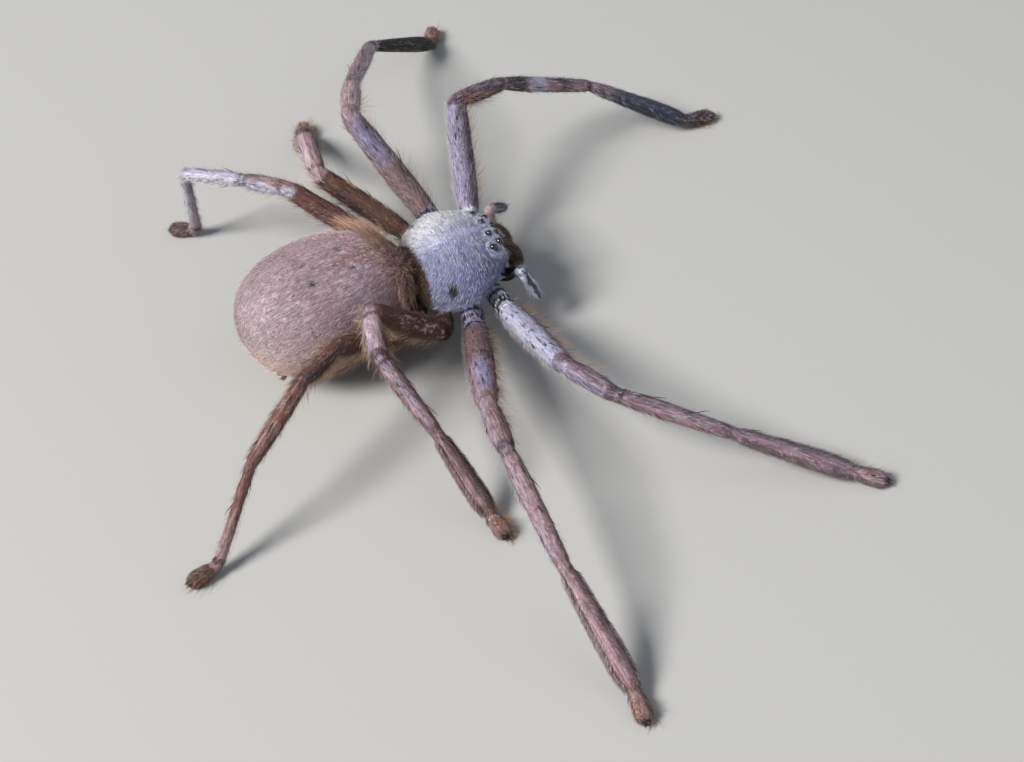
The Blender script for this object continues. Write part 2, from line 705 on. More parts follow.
def grain_of(place):
    """Coordinates across and along the lie, in millimetres."""
    on_limb = place["segment"] >= 0
    s = place["segment"].clip(0)
    turn = np.radians(place["around"])
    front, belly = place["front"], place["belly"]
    on_belly = place["kind"] == CODE["abdomen"]
    body_across = np.where(on_belly, turn * BELLY_ROUND, front[:, 0])
    body_along = np.where(on_belly, belly[:, 0], np.abs(front[:, 1]) + front[:, 2])
    across = np.where(on_limb, turn * SEG_RADIUS[s], body_across)
    along = np.where(on_limb, place["run"], body_along)
    return np.stack([across, along, np.where(on_limb, place["limb"] * LIMB_APART, BODY_APART)], axis=1)


def read_rows(items, field, kind):
    """One field of all a mesh's points or faces, three numbers to a row."""
    values = np.empty(len(items) * 3, kind)
    items.foreach_get(field, values)
    return values.reshape(-1, 3)


def mesh_arrays(item):
    """A mesh's points in millimetres, their normals, and its triangles."""
    points = read_rows(item.data.vertices, "co", np.float32).astype(float) / MM
    normals = read_rows(item.data.vertices, "normal", np.float32).astype(float)
    return points, normals, read_rows(item.data.polygons, "vertices", np.int32)


skin_verts, skin_normals, skin_faces = mesh_arrays(skin)
place = locate(skin_verts)
print({kind: int((place["kind"] == code).sum()) for kind, code in CODE.items()})

# %% [markdown]
# ## Small forms in the skin
# Now the skin gets what the spheres and tubes don't have: the groove in the middle of the shield with
# shallow furrows that run out from it, a raised rim round each eye, dimples over the muscles on top of
# the abdomen, and a slight unevenness everywhere. Each moves the skin's points along their normals.

# %% Small forms in the skin
NOISE_SIZE = 32
UNEVENNESS = 0.05
GROOVE_DEPTH = 0.2
FURROW_BEARINGS = (38, 75, 108, 140)
FURROW_CENTRE = (-1.2, 0)
FURROW_DEPTH = 0.1
EYE_RIM_HEIGHT = 0.1
DIMPLES = ((2.5, 1.3), (-1.9, 1.2))
DIMPLE_DEPTH = 0.14
PATTERN_ROLL = math.radians(15)
SKIN_OFF_FLOOR = 0.02
noise_table = np.random.default_rng(3).random((NOISE_SIZE,) * 3)


def clouds(points, size):
    """Smooth random values from 0 to 1, with blots about this many millimetres wide."""
    places = points / size + 1000
    cell = np.floor(places).astype(int)
    share = places - cell
    share = share * share * (3 - 2 * share)
    total = np.zeros(len(points))
    for corner in np.ndindex(2, 2, 2):
        weight = np.prod(np.where(corner, share, 1 - share), axis=1)
        total += weight * noise_table[tuple(((cell + corner) % NOISE_SIZE).T)]
    return total


def pattern_side(belly):
    """How far left of the abdomen's own midline, which is rolled a little to the right."""
    return belly[:, 1] * math.cos(PATTERN_ROLL) + belly[:, 2] * math.sin(PATTERN_ROLL)


move = (clouds(skin_verts, 0.9) - 0.5) * UNEVENNESS
front, belly, kind = place["front"], place["belly"], place["kind"]
shield = kind == CODE["carapace"]
groove = bump(front[:, 1], 0.22) * bump(front[:, 0] + 1.9, 0.9)
furrows = np.zeros(len(skin_verts))
for bearing in FURROW_BEARINGS:
    spread = math.radians(bearing)
    out = front[:, :2] - np.array(FURROW_CENTRE)
    run = out[:, 0] * math.cos(spread) + np.abs(out[:, 1]) * math.sin(spread)
    off = -out[:, 0] * math.sin(spread) + np.abs(out[:, 1]) * math.cos(spread)
    furrows += bump(off, 0.32) * ((run > 0.6) & (run < 4.6)) * (1 - np.abs(run - 2.6) / 2.1).clip(0, 1)
move -= shield * (GROOVE_DEPTH * groove + FURROW_DEPTH * furrows)
for eye in EYES.values():
    for turn in SIDES.values():
        height = carapace_height(eye["ahead"], eye["beside"])
        middle = np.array((eye["ahead"], turn * eye["beside"], height - EYE_SINK))
        away = np.linalg.norm(front - middle, axis=1)
        move += shield * EYE_RIM_HEIGHT * bump(away - eye["radius"] - 0.12, 0.14)
belly_top = (kind == CODE["abdomen"]) & (belly[:, 2] > 0)
for ahead, beside in DIMPLES:
    off = np.hypot(belly[:, 0] - ahead, np.abs(pattern_side(belly)) - beside)
    move -= belly_top * DIMPLE_DEPTH * bump(off, 0.4)
skin_verts = skin_verts + skin_normals * move[:, None]
skin_verts[:, 2] = skin_verts[:, 2].clip(SKIN_OFF_FLOOR)
skin.data.vertices.foreach_set("co", (skin_verts * MM).astype(np.float32).ravel())
skin.data.update()
skin.data.shade_smooth()
skin_verts, skin_normals, skin_faces = mesh_arrays(skin)
print("skin moved by", round(float(move.min()), 2), "to", round(float(move.max()), 2), "mm")

# %% [markdown]
# ## Colours
# The spider is lilac-grey in front, pinkish brown behind, and its legs are lilac above, brown on their
# front sides and dark below. Colours are written as sRGB hex values, as a paint chart gives them, and
# one function makes them linear, which is what a renderer adds up.

# %% Colours
def tone(text):
    channels = np.array([int(text[i : i + 2], 16) / 255 for i in (1, 3, 5)])
    return np.where(channels <= 0.04045, channels / 12.92, ((channels + 0.055) / 1.055) ** 2.4)


LILAC = tone("#a0a3c4")
LILAC_DEEP = tone("#6b72a8")
LILAC_PALE = tone("#ccccdc")
WHITE_HAIR = tone("#eeedf2")
EYE_WHITE = tone("#dde2f4")
CREAM = tone("#d8c8b0")
MAUVE = tone("#947c85")
MAUVE_PALE = tone("#d0bcc2")
TAN = tone("#b08a6a")
TAN_PALE = tone("#d9bb99")
ORANGE = tone("#b67a4a")
SLOPE = tone("#4a2f21")
PAINTS = {
    "soot": "#1b191b",
    "night": "#1d1f1d",
    "slate": "#2c394f",
    "plum": "#64505c",
    "grape": "#75616f",
    "shadow": "#42323a",
    "umber": "#4a332a",
    "bark": "#5a3a2c",
    "brown": "#6a463b",
    "rust": "#784e44",
    "liver": "#6d5350",
    "rosewood": "#866a6b",
    "rose": "#9a7b82",
    "petal": "#b09298",
    "blush": "#c2b0b8",
    "dusk": "#85707d",
    "iris": "#7b7490",
    "lavender": "#938ba6",
    "mist": "#aaa7bf",
    "pearl": "#bfbed2",
    "frost": "#dcd9e2",
    "fawn": "#a87f72",
}
PAINTS = {name: tone(text) for name, text in PAINTS.items()}
SOOT, UMBER, SHADOW, ROSE = (PAINTS[name] for name in ("soot", "umber", "shadow", "rose"))


def blend(colours, other, weight):
    weight = np.asarray(weight, dtype=float)
    weight = np.broadcast_to(weight, colours.shape[:1]).clip(0, 1)[:, None]
    return colours * (1 - weight) + other * weight


def layered(colours, layers, mask=1):
    """Lays each colour of a list over those before it, with a weight from 0 to 1."""
    for colour, weight in layers:
        colours = blend(colours, colour, mask * weight)
    return colours


def band(values, low, high, soft):
    """1 between low and high, fading to 0 over the soft width on both sides."""
    return ((values - low) / soft).clip(0, 1) * ((high - values) / soft).clip(0, 1)


def above(values, level, soft=0.08):
    """0 below the level, rising to 1 over the soft width."""
    return ((values - level) / soft).clip(0, 1)


lightness = {name: round(float(paint_.mean()), 2) for name, paint_ in PAINTS.items()}
print(len(PAINTS), "paints, from", min(lightness.values()), "to", max(lightness.values()), "bright")

# %% [markdown]
# ## Markings
# One function paints any point of the body. The skin and every hair ask it for their colour, so the
# markings are the same on both. Each leg segment has four paints, for its front side, top, back and
# underside: the fore legs are lilac and the hind ones brown. The left legs are paler in places, so a
# few of their segments have paints of their own.

# %% Leg paints
LEG_PAINTS = {
    1: dict(
        femur="plum mist pearl rosewood",
        patella="plum grape lavender umber",
        tibia="plum dusk rose umber",
        metatarsus="rosewood dusk rose rosewood",
        tarsus="plum rose petal umber",
    ),
    2: dict(
        femur="rust lavender rose rosewood",
        patella="rust rosewood rose umber",
        tibia="rust rose rose umber",
        metatarsus="rosewood rose petal petal",
        tarsus="rosewood fawn fawn umber",
    ),
    3: dict(
        femur="brown bark umber rosewood",
        patella="rust petal blush bark",
        tibia="rust rose petal umber",
        metatarsus="rust rosewood petal petal",
        tarsus="petal fawn petal umber",
    ),
    4: dict(
        femur="brown brown brown rosewood",
        patella="umber brown brown bark",
        tibia="brown rust rust umber",
        metatarsus="rust rust rust umber",
        tarsus="bark bark bark umber",
    ),
}
LEFT_PAINTS = {
    (1, "femur"): "plum lavender pearl rosewood",
    (1, "patella"): "shadow plum dusk umber",
    (1, "tibia"): "petal dusk rose umber",
    (1, "metatarsus"): "shadow dusk rose plum",
    (1, "tarsus"): "shadow plum rose umber",
    (2, "femur"): "plum iris dusk rosewood",
    (2, "patella"): "blush petal rose umber",
    (2, "tibia"): "blush rose rose umber",
    (4, "patella"): "brown rosewood pearl bark",
    (4, "tibia"): "petal mist frost pearl",
    (4, "metatarsus"): "petal mist frost mist",
}
LIMB_PAIR = np.array([limb["pair"] for limb in limbs])
LIMB_TURN = np.array([SIDES[limb["side"]] for limb in limbs])
LEFT_THIGH_ROLL = 28


def leg_paints(turn):
    """Every pair's segments with their paints; the left legs have some of their own."""
    for number, parts in LEG_PAINTS.items():
        for part, names in parts.items():
            own = LEFT_PAINTS.get((number, part), names)
            yield number, part, [PAINTS[name] for name in (own if turn > 0 else names).split()]


def four_way(tones, around):
    """Blends a segment's front, top, back and under colours by the angle round it."""
    weights = []
    for centre in (0, 90, 180, -90):
        off = np.abs((around - centre + 180) % 360 - 180)
        weights.append((1 - off / 90).clip(0, 1) ** 2.2)
    weights = np.array(weights)
    weights /= weights.sum(0)
    return sum(weight[:, None] * paint_[None] for weight, paint_ in zip(weights, tones))


def lines_of(place, thick, long):
    """Random values that run in fine lines along the lie of the hair."""
    return clouds(grain_of(place) * np.array([1 / thick, 1 / long, 1.0]), 1.0)


segments = sum(len(parts) for parts in LEG_PAINTS.values())
print(segments, "kinds of segment have paints, and", len(LEFT_PAINTS), "on the left have others")

# %% [markdown]
# ## Markings of the thighs and hips
# The hips and the roots of the two front thighs are banded in black and a pale ground, in rings about a
# millimetre apart, which a cosine along the leg gives. The same thighs have dark specks in the grain,
# and the third pair's have a few cream beads on the outside, where a noise is above a threshold.

# %% Markings of the thighs and hips
# The first value of each is for the body and jaws, and the others for the four pairs of legs.
HIP_BAND_SPACING = np.array((0.9, 0.9, 0.62, 0.9, 0.9))
HIP_BANDS_END = np.array((9, 6.1, 6.4, 9, 9))
BARK, IRIS_BRIGHT = PAINTS["bark"], PAINTS["iris"] * 1.3
HIP_GROUND = np.array((BARK, LILAC_PALE, IRIS_BRIGHT, BARK, BARK))


def paint_thighs(place, colours, pair):
    """Brown bases, dark specks, cream beads and the banded hips."""
    kind, along, run, around = (place[key] for key in ("kind", "along", "run", "around"))
    femur = kind == CODE["femur"]
    base = femur & (pair == 2)
    knee_patch = femur & (pair == 1) & (np.cos(np.radians(around)) > 0.1)
    specks = femur & (pair <= 2) & (lines_of(place, 0.13, 0.34) > 0.83)
    outside = (np.abs(around - 22) < 40) & (along < 0.72)
    beads = femur & (pair == 3) & outside & (clouds(place["points"], 0.2) > 0.68)
    layers = [
        (PAINTS["liver"], 0.9 * base * band(along, -0.5, 0.6, 0.12)),
        (ROSE, 0.75 * base * band(along, 0.86, 1.2, 0.14)),
        (PAINTS["rust"], 0.7 * knee_patch * above(along, 0.9, 0.06)),
        (SOOT, 0.9 * specks),
        (CREAM, 0.8 * beads),
    ]
    colours = layered(colours, layers)
    bend = np.cos(np.radians(around - 90)) * 1.3
    sway = (clouds(place["points"], 0.7) - 0.5) * 0.5
    wave = np.cos(run / HIP_BAND_SPACING[pair] * 2 * math.pi + bend + sway)
    banded = np.where((wave > -0.1)[:, None], SOOT, HIP_GROUND[pair])
    hip = (pair > 0) & (place["segment"] >= 0) & (kind <= CODE["femur"]) & (run < HIP_BANDS_END[pair])
    hip &= (kind == CODE["coxa"]) | (pair <= 2)
    return np.where(hip[:, None], banded, colours)


print("the bands are", HIP_BAND_SPACING[1:3], "mm apart on the two front pairs")

# %% [markdown]
# ## Markings of the legs
# Over the four paints lie thin lines of shadow between the hairs, a pale stripe down the middle two
# right legs, rings at the joints and black toes. The grip pads of the two left front feet turn up and
# show their dark hair.

# %% Markings of the legs
def paint_leg(place, colours):
    kind, along, around = place["kind"], place["along"], place["around"]
    femur, patella, tibia, metatarsus, tarsus = (kind == CODE[name] for name in LEG_KINDS[1:])
    limb = place["limb"].clip(0)
    pair = np.where(place["limb"] < 0, 0, LIMB_PAIR[limb])
    on_left = (LIMB_TURN[limb] > 0) & (pair > 0) & (pair <= 2)
    around = around - LEFT_THIGH_ROLL * (on_left & femur)
    blot = clouds(place["points"], 0.7)
    for turn in SIDES.values():
        for number, part, tones in leg_paints(turn):
            mask = (kind == CODE[part]) & (pair == number) & (LIMB_TURN[limb] == turn)
            if mask.any():
                colours[mask] = four_way(tones, around[mask] + (blot[mask] - 0.5) * 40)
    legwise = (kind >= CODE["femur"]) & (place["segment"] >= 0)
    lines = lines_of(place, 0.13, 1.1)
    gaps = np.where(femur & (pair == 1), 0.12, 0.42)
    middle = (patella | tibia) & (LIMB_TURN[limb] < 0)
    stripe = middle * ((pair == 3) * bump(around - 115, 24) + (pair == 2) * bump(around - 150, 26))
    dashes = tibia & (pair == 3) & (lines_of(place, 0.12, 0.7) > 0.78)
    shin = on_left & tibia & (pair == 1)
    pad = on_left & metatarsus & (around < 150)
    to_joint = np.minimum(along, 1 - along) * SEG_LENGTH[place["segment"].clip(0)]
    ragged = to_joint + (clouds(place["points"], 0.3) - 0.5) * 0.12
    knee = patella & (along > 0.5) | tibia & (along < 0.5)
    rings = np.where(knee, 0.75, 0.25) * (patella | tibia | metatarsus)
    rim = patella & (along > 0.5) & (pair == 4)
    layers = [
        (SHADOW, gaps * legwise * above(lines, 0.64)),
        (MAUVE_PALE, 0.3 * (legwise & ~femur) * above(-lines, -0.36)),
        (PAINTS["mist"], 0.6 * stripe * above(lines, 0.36, 0.2)),
        (SOOT, 0.8 * dashes),
        (PAINTS["petal"], 0.7 * (metatarsus & (pair == 4)) * above(along, 0.5, 0.4)),
        (SOOT, 0.85 * shin * band(along + (blot - 0.5) * 0.1, 0.02, 0.27, 0.06)),
        (PAINTS["pearl"], 0.8 * shin * band(along, 0.27, 0.5, 0.08)),
        (SHADOW, 0.6 * shin * band(along, 0.6, 0.8, 0.06)),
        (PAINTS["night"], 0.9 * (pad & (pair == 2))),
        (PAINTS["slate"], 0.85 * (pad & (pair == 1)) * above(along, 0.16, 0.2)),
        (SHADOW, rings * above(-ragged, -0.12, 0.06)),
        (MAUVE_PALE, 0.8 * rim * band(to_joint, 0.12, 0.32, 0.06)),
        (SOOT, 0.9 * (tarsus & (along > 0.86))),
    ]
    return paint_thighs(place, layered(colours, layers), pair)


print("the top of a fore thigh is", LEG_PAINTS[1]["femur"].split()[1])

# %% [markdown]
# ## Markings of the body
# The shield is blue-grey with a paler far side, a bare brown slope behind and a few black spots. The
# eyes stand in pale rings. The abdomen is mauve on top, with two pairs of dark dimples, and turns tan
# towards the belly and brown at the front.

# %% Markings of the body
SHIELD_SPOTS = ((-1.75, 4.8, 0.58), (1.2, 2.4, 0.16), (-0.4, 2.2, 0.14), (2.4, 3.4, 0.16), (3.2, 1.9, 0.15))


def rear_slope(front):
    """The bare brown back of the shield, where it falls to the waist."""
    return front[:, 0] < -3.1 - 0.05 * front[:, 1] ** 2


def paint_shield(place, colours):
    """Pale along the rim and on the far side, deeper blue low on the near side, mauve behind the eyes."""
    front = place["front"]
    ahead, left = front[:, 0], front[:, 1]
    shield = place["kind"] == CODE["carapace"]
    blots, small = clouds(place["points"], 1.3), clouds(place["points"], 0.35)
    share = ahead / (CARAPACE_LENGTH / 2)
    edge = np.abs(left) / np.maximum(carapace_half_width(share.clip(-0.99, 0.99)), 0.5)
    crown = band(ahead, -0.8, 5.0, 0.9) * bump(left - 0.2, 2.1)
    layers = [
        (LILAC_DEEP, 0.85 * above(-left, 1.1, 3.4)),
        (LILAC_PALE, 0.95 * above(left, -0.1, 2.8)),
        (LILAC_PALE, 0.45 * band(edge, 0.8, 1.3, 0.2) * above(left, -1, 2)),
        (tone("#a39eb8"), 0.75 * crown),
        (LILAC_DEEP, 0.5 * above(blots, 0.5, 0.25) * (1 - 0.7 * crown)),
        (SHADOW, 0.4 * above(small, 0.72, 0.06) * (1 - 0.5 * crown)),
        (WHITE_HAIR, 0.5 * bump(np.hypot(ahead + 1.3, (left - 0.3) * 0.7), 0.5)),
        (EYE_WHITE, 0.6 * above(ahead, 4.5, 0.7)),
        (WHITE_HAIR, 0.7 * above(left, 0.6, 2.2)),
        (SHADOW, 0.8 * bump(np.hypot((ahead + 2.1) * 0.6, left), 0.2)),
    ]
    for along, beside, size in SHIELD_SPOTS:
        off = np.hypot(ahead - along, np.abs(left) - beside)
        layers.append((SOOT, 0.97 * above(-off, -size, 0.14)))
    layers.append((SLOPE, rear_slope(front)))
    for eye in EYES.values():
        off = np.hypot(ahead - eye["ahead"], np.abs(left) - eye["beside"])
        layers.append((EYE_WHITE, 0.5 * bump(off - eye["radius"] - 0.28, 0.15)))
        layers.append((SOOT, 0.95 * (off < eye["radius"] + 0.07)))
    colours[shield] = LILAC
    return layered(colours, layers, shield)


def paint_body(place, colours):
    """The shield, the dark underside, and the abdomen from its brown front to its pale back."""
    kind, belly = place["kind"], place["belly"]
    big, small = clouds(place["points"], 2.6), lines_of(place, 0.16, 0.5)
    gut = kind == CODE["abdomen"]
    ahead, aside, height = belly[:, 0], pattern_side(belly), belly[:, 2] / (ABDOMEN_HEIGHT / 2)
    layers = [
        (tone("#b08c7e"), ((0.45 - height) / 0.8).clip(0, 0.85)),
        (TAN * 0.85, ((-height - 0.3) / 0.5).clip(0, 0.8)),
        (MAUVE_PALE, 0.45 * above(-ahead, 3.5, 5)),
        (MAUVE * 0.72, 0.8 * (big - 0.4)),
        (tone("#946a5e"), 0.85 * above(ahead, 4.0, 3.4)),
        (PAINTS["rust"], 0.5 * (height > 0.2) * bump(aside, 1.0) * band(ahead, 0, 6, 2)),
        (MAUVE_PALE, 0.6 * (height > 0.1) * bump(aside + 1, 4.0) * above(small, 0.7, 0.06)),
    ]
    for row, beside in DIMPLES:
        off = np.hypot((ahead - row) * 0.75, np.abs(aside) - beside)
        layers.append((SOOT, 0.9 * (height > 0) * above(-off, -0.36, 0.2)))
    colours = paint_shield(place, colours)
    colours[kind == CODE["underbody"]] = UMBER * 0.4
    colours[kind == CODE["spinnerets"]] = UMBER
    colours[gut] = MAUVE
    return layered(colours, layers, gut)


print("the shield has", len(SHIELD_SPOTS) * len(SIDES), "black spots")

# %% [markdown]
# ## Markings of the face
# The jaws are dark, and nearly black on the outer side. The feelers are whitish with black streaks and
# a black base. The left one is pink as far as its knee, as much as is seen of it over the shield.

# %% Markings of the face
LEFT_PALP = [limb["name"] for limb in limbs].index("palp_left")
KNEE_RUN = float(SEG_LENGTH[SEG_LIMB == LEFT_PALP][:4].sum())
PALP_KNEES_AT = np.zeros((len(limbs), 3))
for number, limb in enumerate(limbs):
    if limb["name"].startswith("palp"):
        PALP_KNEES_AT[number] = tuple(limb["joints"][4])


def paint_face(place, colours):
    kind, run = place["kind"], place["run"]
    jaw, feeler = kind == CODE["chelicera"], kind == CODE["palp"]
    colours[jaw] = tone("#4d3527")
    colours[feeler] = tone("#c3cade")
    dusky = clouds(place["points"], 0.6) - 0.25 * place["front"][:, 1]
    colours = blend(colours, SOOT, jaw * 0.9 * above(dusky, 0.75, 0.3))
    to_knee = np.linalg.norm(place["points"] - PALP_KNEES_AT[place["limb"].clip(0)], axis=1)
    past_knee = (to_knee > 0.7) & (run > KNEE_RUN)
    left_one = place["limb"] == LEFT_PALP
    layers = [
        (SOOT, 0.9 * above(lines_of(place, 0.4, 2.6), 0.6)),
        (SOOT, 0.9 * above(-run, 1.1 - KNEE_RUN, 0.3)),
        (SOOT, 0.7 * bump(to_knee - 0.45, 0.1)),
        (PAINTS["petal"], 0.8 * (left_one & ~past_knee)),
        (SHADOW * 0.7, 0.85 * (left_one & past_knee)),
    ]
    return layered(colours, layers, feeler)


def paint(place):
    colours = np.tile(ROSE, (len(place["kind"]), 1))
    for part in (paint_body, paint_face, paint_leg):
        colours = part(place, colours)
    return colours


place = locate(skin_verts)
skin_colours = paint(place)
print("mean skin colour", skin_colours.mean(0).round(3))

# %% [markdown]
# ## Carrying colour on a mesh
# A mesh can hold a colour on each of its points as an attribute, which a material reads back. The
# skin also carries its own lie as coordinates in millimetres, along the hair and across it, so that
# the fine grain in the material runs the way the hair does, round every bend.

# %% Attributes
def set_attribute(mesh, name, kind, values):
    layer = mesh.attributes.new(name, kind, "POINT")
    field = {"FLOAT_COLOR": "color", "FLOAT_VECTOR": "vector"}[kind]
    if kind == "FLOAT_COLOR":
        values = np.concatenate([values, np.ones((len(values), 1))], axis=1)
    layer.data.foreach_set(field, values.astype(np.float32).ravel())


def lie_of(place):
    """The way the hair points: towards a limb's tip, back over the abdomen, outwards over the shield."""
    s = place["segment"].clip(0)
    ways = SEG_WAY[s].copy()
    front, belly, kind = place["front"], place["belly"], place["kind"]
    count = len(s)
    back = out_of(ABDOMEN, -np.ones(count), 0.12 * belly[:, 1] / 5, -0.1 * np.ones(count))
    side = np.where(np.abs(front[:, 1]) < 0.4, front[:, 1] / 0.4, np.sign(front[:, 1]))
    fore = (front[:, 0] - 1.0) / 5
    outward = out_of(BODY, -0.3 + 0.9 * fore, side * (1 - 0.3 * np.abs(fore)), np.zeros(count))
    limbless = place["segment"] < 0
    on_belly = np.isin(kind, (CODE["abdomen"], CODE["spinnerets"]))
    ways[limbless & on_belly] = back[limbless & on_belly]
    ways[limbless & ~on_belly] = outward[limbless & ~on_belly]
    return unit(ways)


set_attribute(skin.data, "markings", "FLOAT_COLOR", skin_colours)
set_attribute(skin.data, "grain", "FLOAT_VECTOR", grain_of(place))
print("the skin's lie runs", round(float(grain_of(place)[:, 1].max()), 1), "mm at the longest")

# %% [markdown]
# ## Materials
# A spider's skin is cuticle, a hard horn-like layer with a dull gloss, hidden under the coat. The hair
# is finer cuticle: soft and nearly matt, with a slight silky shine. One small function adds a node and
# its links, and every finish below is built with it.

# %% A node helper
def add_node(tree, kind, inputs=None, **settings):
    """Adds a node, sets its options, and fills inputs with values or other nodes' outputs."""
    made = tree.nodes.new(kind)
    for name, value in settings.items():
        setattr(made, name, value)
    for name, value in (inputs or {}).items():
        if isinstance(value, bpy.types.NodeSocket):
            tree.links.new(value, made.inputs[name])
        else:
            made.inputs[name].default_value = value
    return made


def new_finish(name, **values):
    """A material with its Principled shader set, and its node tree."""
    material = bpy.data.materials.new(name)
    material.use_nodes = True
    tree = material.node_tree
    shader = tree.nodes["Principled BSDF"]
    for socket, value in values.items():
        shader.inputs[socket.replace("_", " ")].default_value = value
    return material, tree, shader


def vary_markings(tree, shader, noise, least, most):
    """Links the markings to the shader's colour, made darker and paler with a noise."""
    marks = add_node(tree, "ShaderNodeAttribute", attribute_name="markings")
    limits = {"From Min": 0.3, "From Max": 0.7, "To Min": least, "To Max": most}
    shade = add_node(tree, "ShaderNodeMapRange", {"Value": noise.outputs["Fac"], **limits})
    varied = add_node(
        tree,
        "ShaderNodeVectorMath",
        {0: marks.outputs["Color"], "Scale": shade.outputs["Result"]},
        operation="SCALE",
    )
    tree.links.new(varied.outputs["Vector"], shader.inputs["Base Color"])


def raise_relief(tree, shader, noise, strength, depth):
    """Links a noise to the shader as a relief this many metres deep."""
    settings = {"Height": noise.outputs["Fac"], "Strength": strength, "Distance": depth}
    relief = add_node(tree, "ShaderNodeBump", settings)
    tree.links.new(relief.outputs["Normal"], shader.inputs["Normal"])


print("every finish starts as a Principled shader")

# %% [markdown]
# ## Cuticle
# Under the coat the cuticle is pitted where each hair is rooted, and short hair lies flat on it, which
# makes it look dull and finely streaked. A hair is about 0.02 mm thick, too fine to show, so it is
# drawn 0.06 mm thick. A noise stretched nine times along the lie gives it, as colour and as bump.

# %% Cuticle
HAIR_THICKNESS = 0.06
HAIR_STRETCH = 0.11
HAIR_RELIEF = 0.06 * MM

cuticle, tree, shader = new_finish("haired_cuticle", Roughness=0.62, Specular_IOR_Level=0.35)
grain = add_node(tree, "ShaderNodeAttribute", attribute_name="grain")
scale = (1 / HAIR_THICKNESS / 3, HAIR_STRETCH / HAIR_THICKNESS / 3, 1)
stretch = add_node(tree, "ShaderNodeMapping", {"Vector": grain.outputs["Vector"], "Scale": scale})
lines = {"Vector": stretch.outputs["Vector"], "Scale": 1.0, "Detail": 3.0}
streaks = add_node(tree, "ShaderNodeTexNoise", lines)
vary_markings(tree, shader, streaks, 0.55, 1.2)
raise_relief(tree, shader, streaks, 0.7, HAIR_RELIEF)
skin.data.materials.append(cuticle)
print("streaks are", HAIR_THICKNESS, "mm wide and", round(HAIR_THICKNESS / HAIR_STRETCH, 2), "mm long")

# %% [markdown]
# ## Hair
# A hair is a fine stalk of cuticle with a soft silky shine. Each tuft carries its own colour, darker at
# the root and paler at the tip, so its material only has to read it, with flecks a quarter of a
# millimetre wide. Real hair scatters light along its length, which a little sheen stands for.

# %% Hair
FLECK = 0.25 * MM
hair, tree, shader = new_finish("soft_hair", Roughness=0.55, Specular_IOR_Level=0.4, Sheen_Weight=0.15)
fleck = add_node(tree, "ShaderNodeTexNoise", {"Scale": 1 / FLECK / 3, "Detail": 1.0})
vary_markings(tree, shader, fleck, 0.88, 1.12)
print("flecks in the hair are", round(FLECK / MM, 2), "mm wide")

# %% [markdown]
# ## Scattering roots
# Hair grows evenly over the skin, so each root falls on a triangle by chance, and a triangle's chance is
# its area. The same roots have a place on a flat map of the part, along it and round it, so that the
# tufts' colours can be baked. Limbs that share a map get a strip of it each.

# %% Scattering roots
def scatter(weights, count):
    """Random places on the skin's triangles, with more where the weight is higher."""
    corners = skin_verts[skin_faces]
    edges = corners[:, 1] - corners[:, 0], corners[:, 2] - corners[:, 0]
    chance = np.linalg.norm(np.cross(*edges), axis=1) / 2 * weights
    picked = rng.choice(len(skin_faces), size=count, p=chance / chance.sum())
    a, b = rng.random((2, count))
    flip = a + b > 1
    a, b = np.where(flip, 1 - a, a), np.where(flip, 1 - b, b)
    shares = np.stack([1 - a - b, a, b], axis=1)
    points = (corners[picked] * shares[:, :, None]).sum(1)
    normals = unit((skin_normals[skin_faces[picked]] * shares[:, :, None]).sum(1))
    return points, normals


def unwrap(place, strips):
    """A root's place on a flat map: along its part and round it. strips lists the limbs that share one."""
    on_limb = place["segment"] >= 0
    whole = LIMB_LENGTH[place["limb"].clip(0)]
    along = np.where(on_limb, place["run"] / whole, (place["along"] + 1) / 2)
    around = (place["around"] / 360 + 0.5) % 1
    strip = sum((place["limb"] == number) * i for i, number in enumerate(strips))
    return np.stack([along, (strip + around) / max(1, len(strips))], axis=1)


print("hair can grow on", len(skin_faces), "triangles")

# %% [markdown]
# ## Blades of hair
# A tuft is a thin three-sided blade that leaves the skin at a low angle and bends down to it. Blender
# has hair curves, but they can't be exported as a mesh, so the blades are made here, all at once, with
# arrays of numbers. A real hair is half as thick: at that width it would need four times as many.

# %% Blades of hair
ROOT_DEPTH = 0.05
BLADE_TAPER = 0.7
BLADE_THICKNESS = 0.6


def blades(points, normals, ways, length, width, lean, bend, rings):
    """The vertices and triangles of many tapering blades, each with this many rings and a tip."""
    count = len(points)
    flat = unit(ways - (ways * normals).sum(1, keepdims=True) * normals)
    beside = np.cross(flat, normals)
    places = [points - normals * ROOT_DEPTH]
    for ring in range(rings):
        angle = np.radians(lean - bend * ring)
        step = flat * np.cos(angle)[:, None] + normals * np.sin(angle)[:, None]
        start = points if ring == 0 else places[-1]
        places.append(start + step * (length / rings)[:, None])
    verts = np.empty((count, rings * 3 + 1, 3))
    turns = np.radians((0, 120, 240))
    for ring in range(rings):
        size = width / 2 * (1 - ring / rings) ** BLADE_TAPER
        for corner, turn in enumerate(turns):
            offset = beside * np.cos(turn) + normals * np.sin(turn) * BLADE_THICKNESS
            verts[:, ring * 3 + corner] = places[ring] + offset * size[:, None]
    verts[:, -1] = places[-1]
    faces = [(2, 1, 0)]
    for low in range(0, rings * 3 - 3, 3):
        for i, j in ((0, 1), (1, 2), (2, 0)):
            faces += [(low + i, low + j, low + 3 + j), (low + i, low + 3 + j, low + 3 + i)]
    top = (rings - 1) * 3
    faces += [(top + i, top + (i + 1) % 3, top + 3) for i in range(3)]
    index = np.arange(count)[:, None, None] * (rings * 3 + 1) + np.array(faces)
    return verts, index.reshape(-1, 3)


one = [np.ones((1, 3)), np.eye(3)[:1], np.eye(3)[1:2], *np.ones((3, 1))]
print("a blade of three rings has", len(blades(*one, bend=0, rings=3)[1]), "triangles")

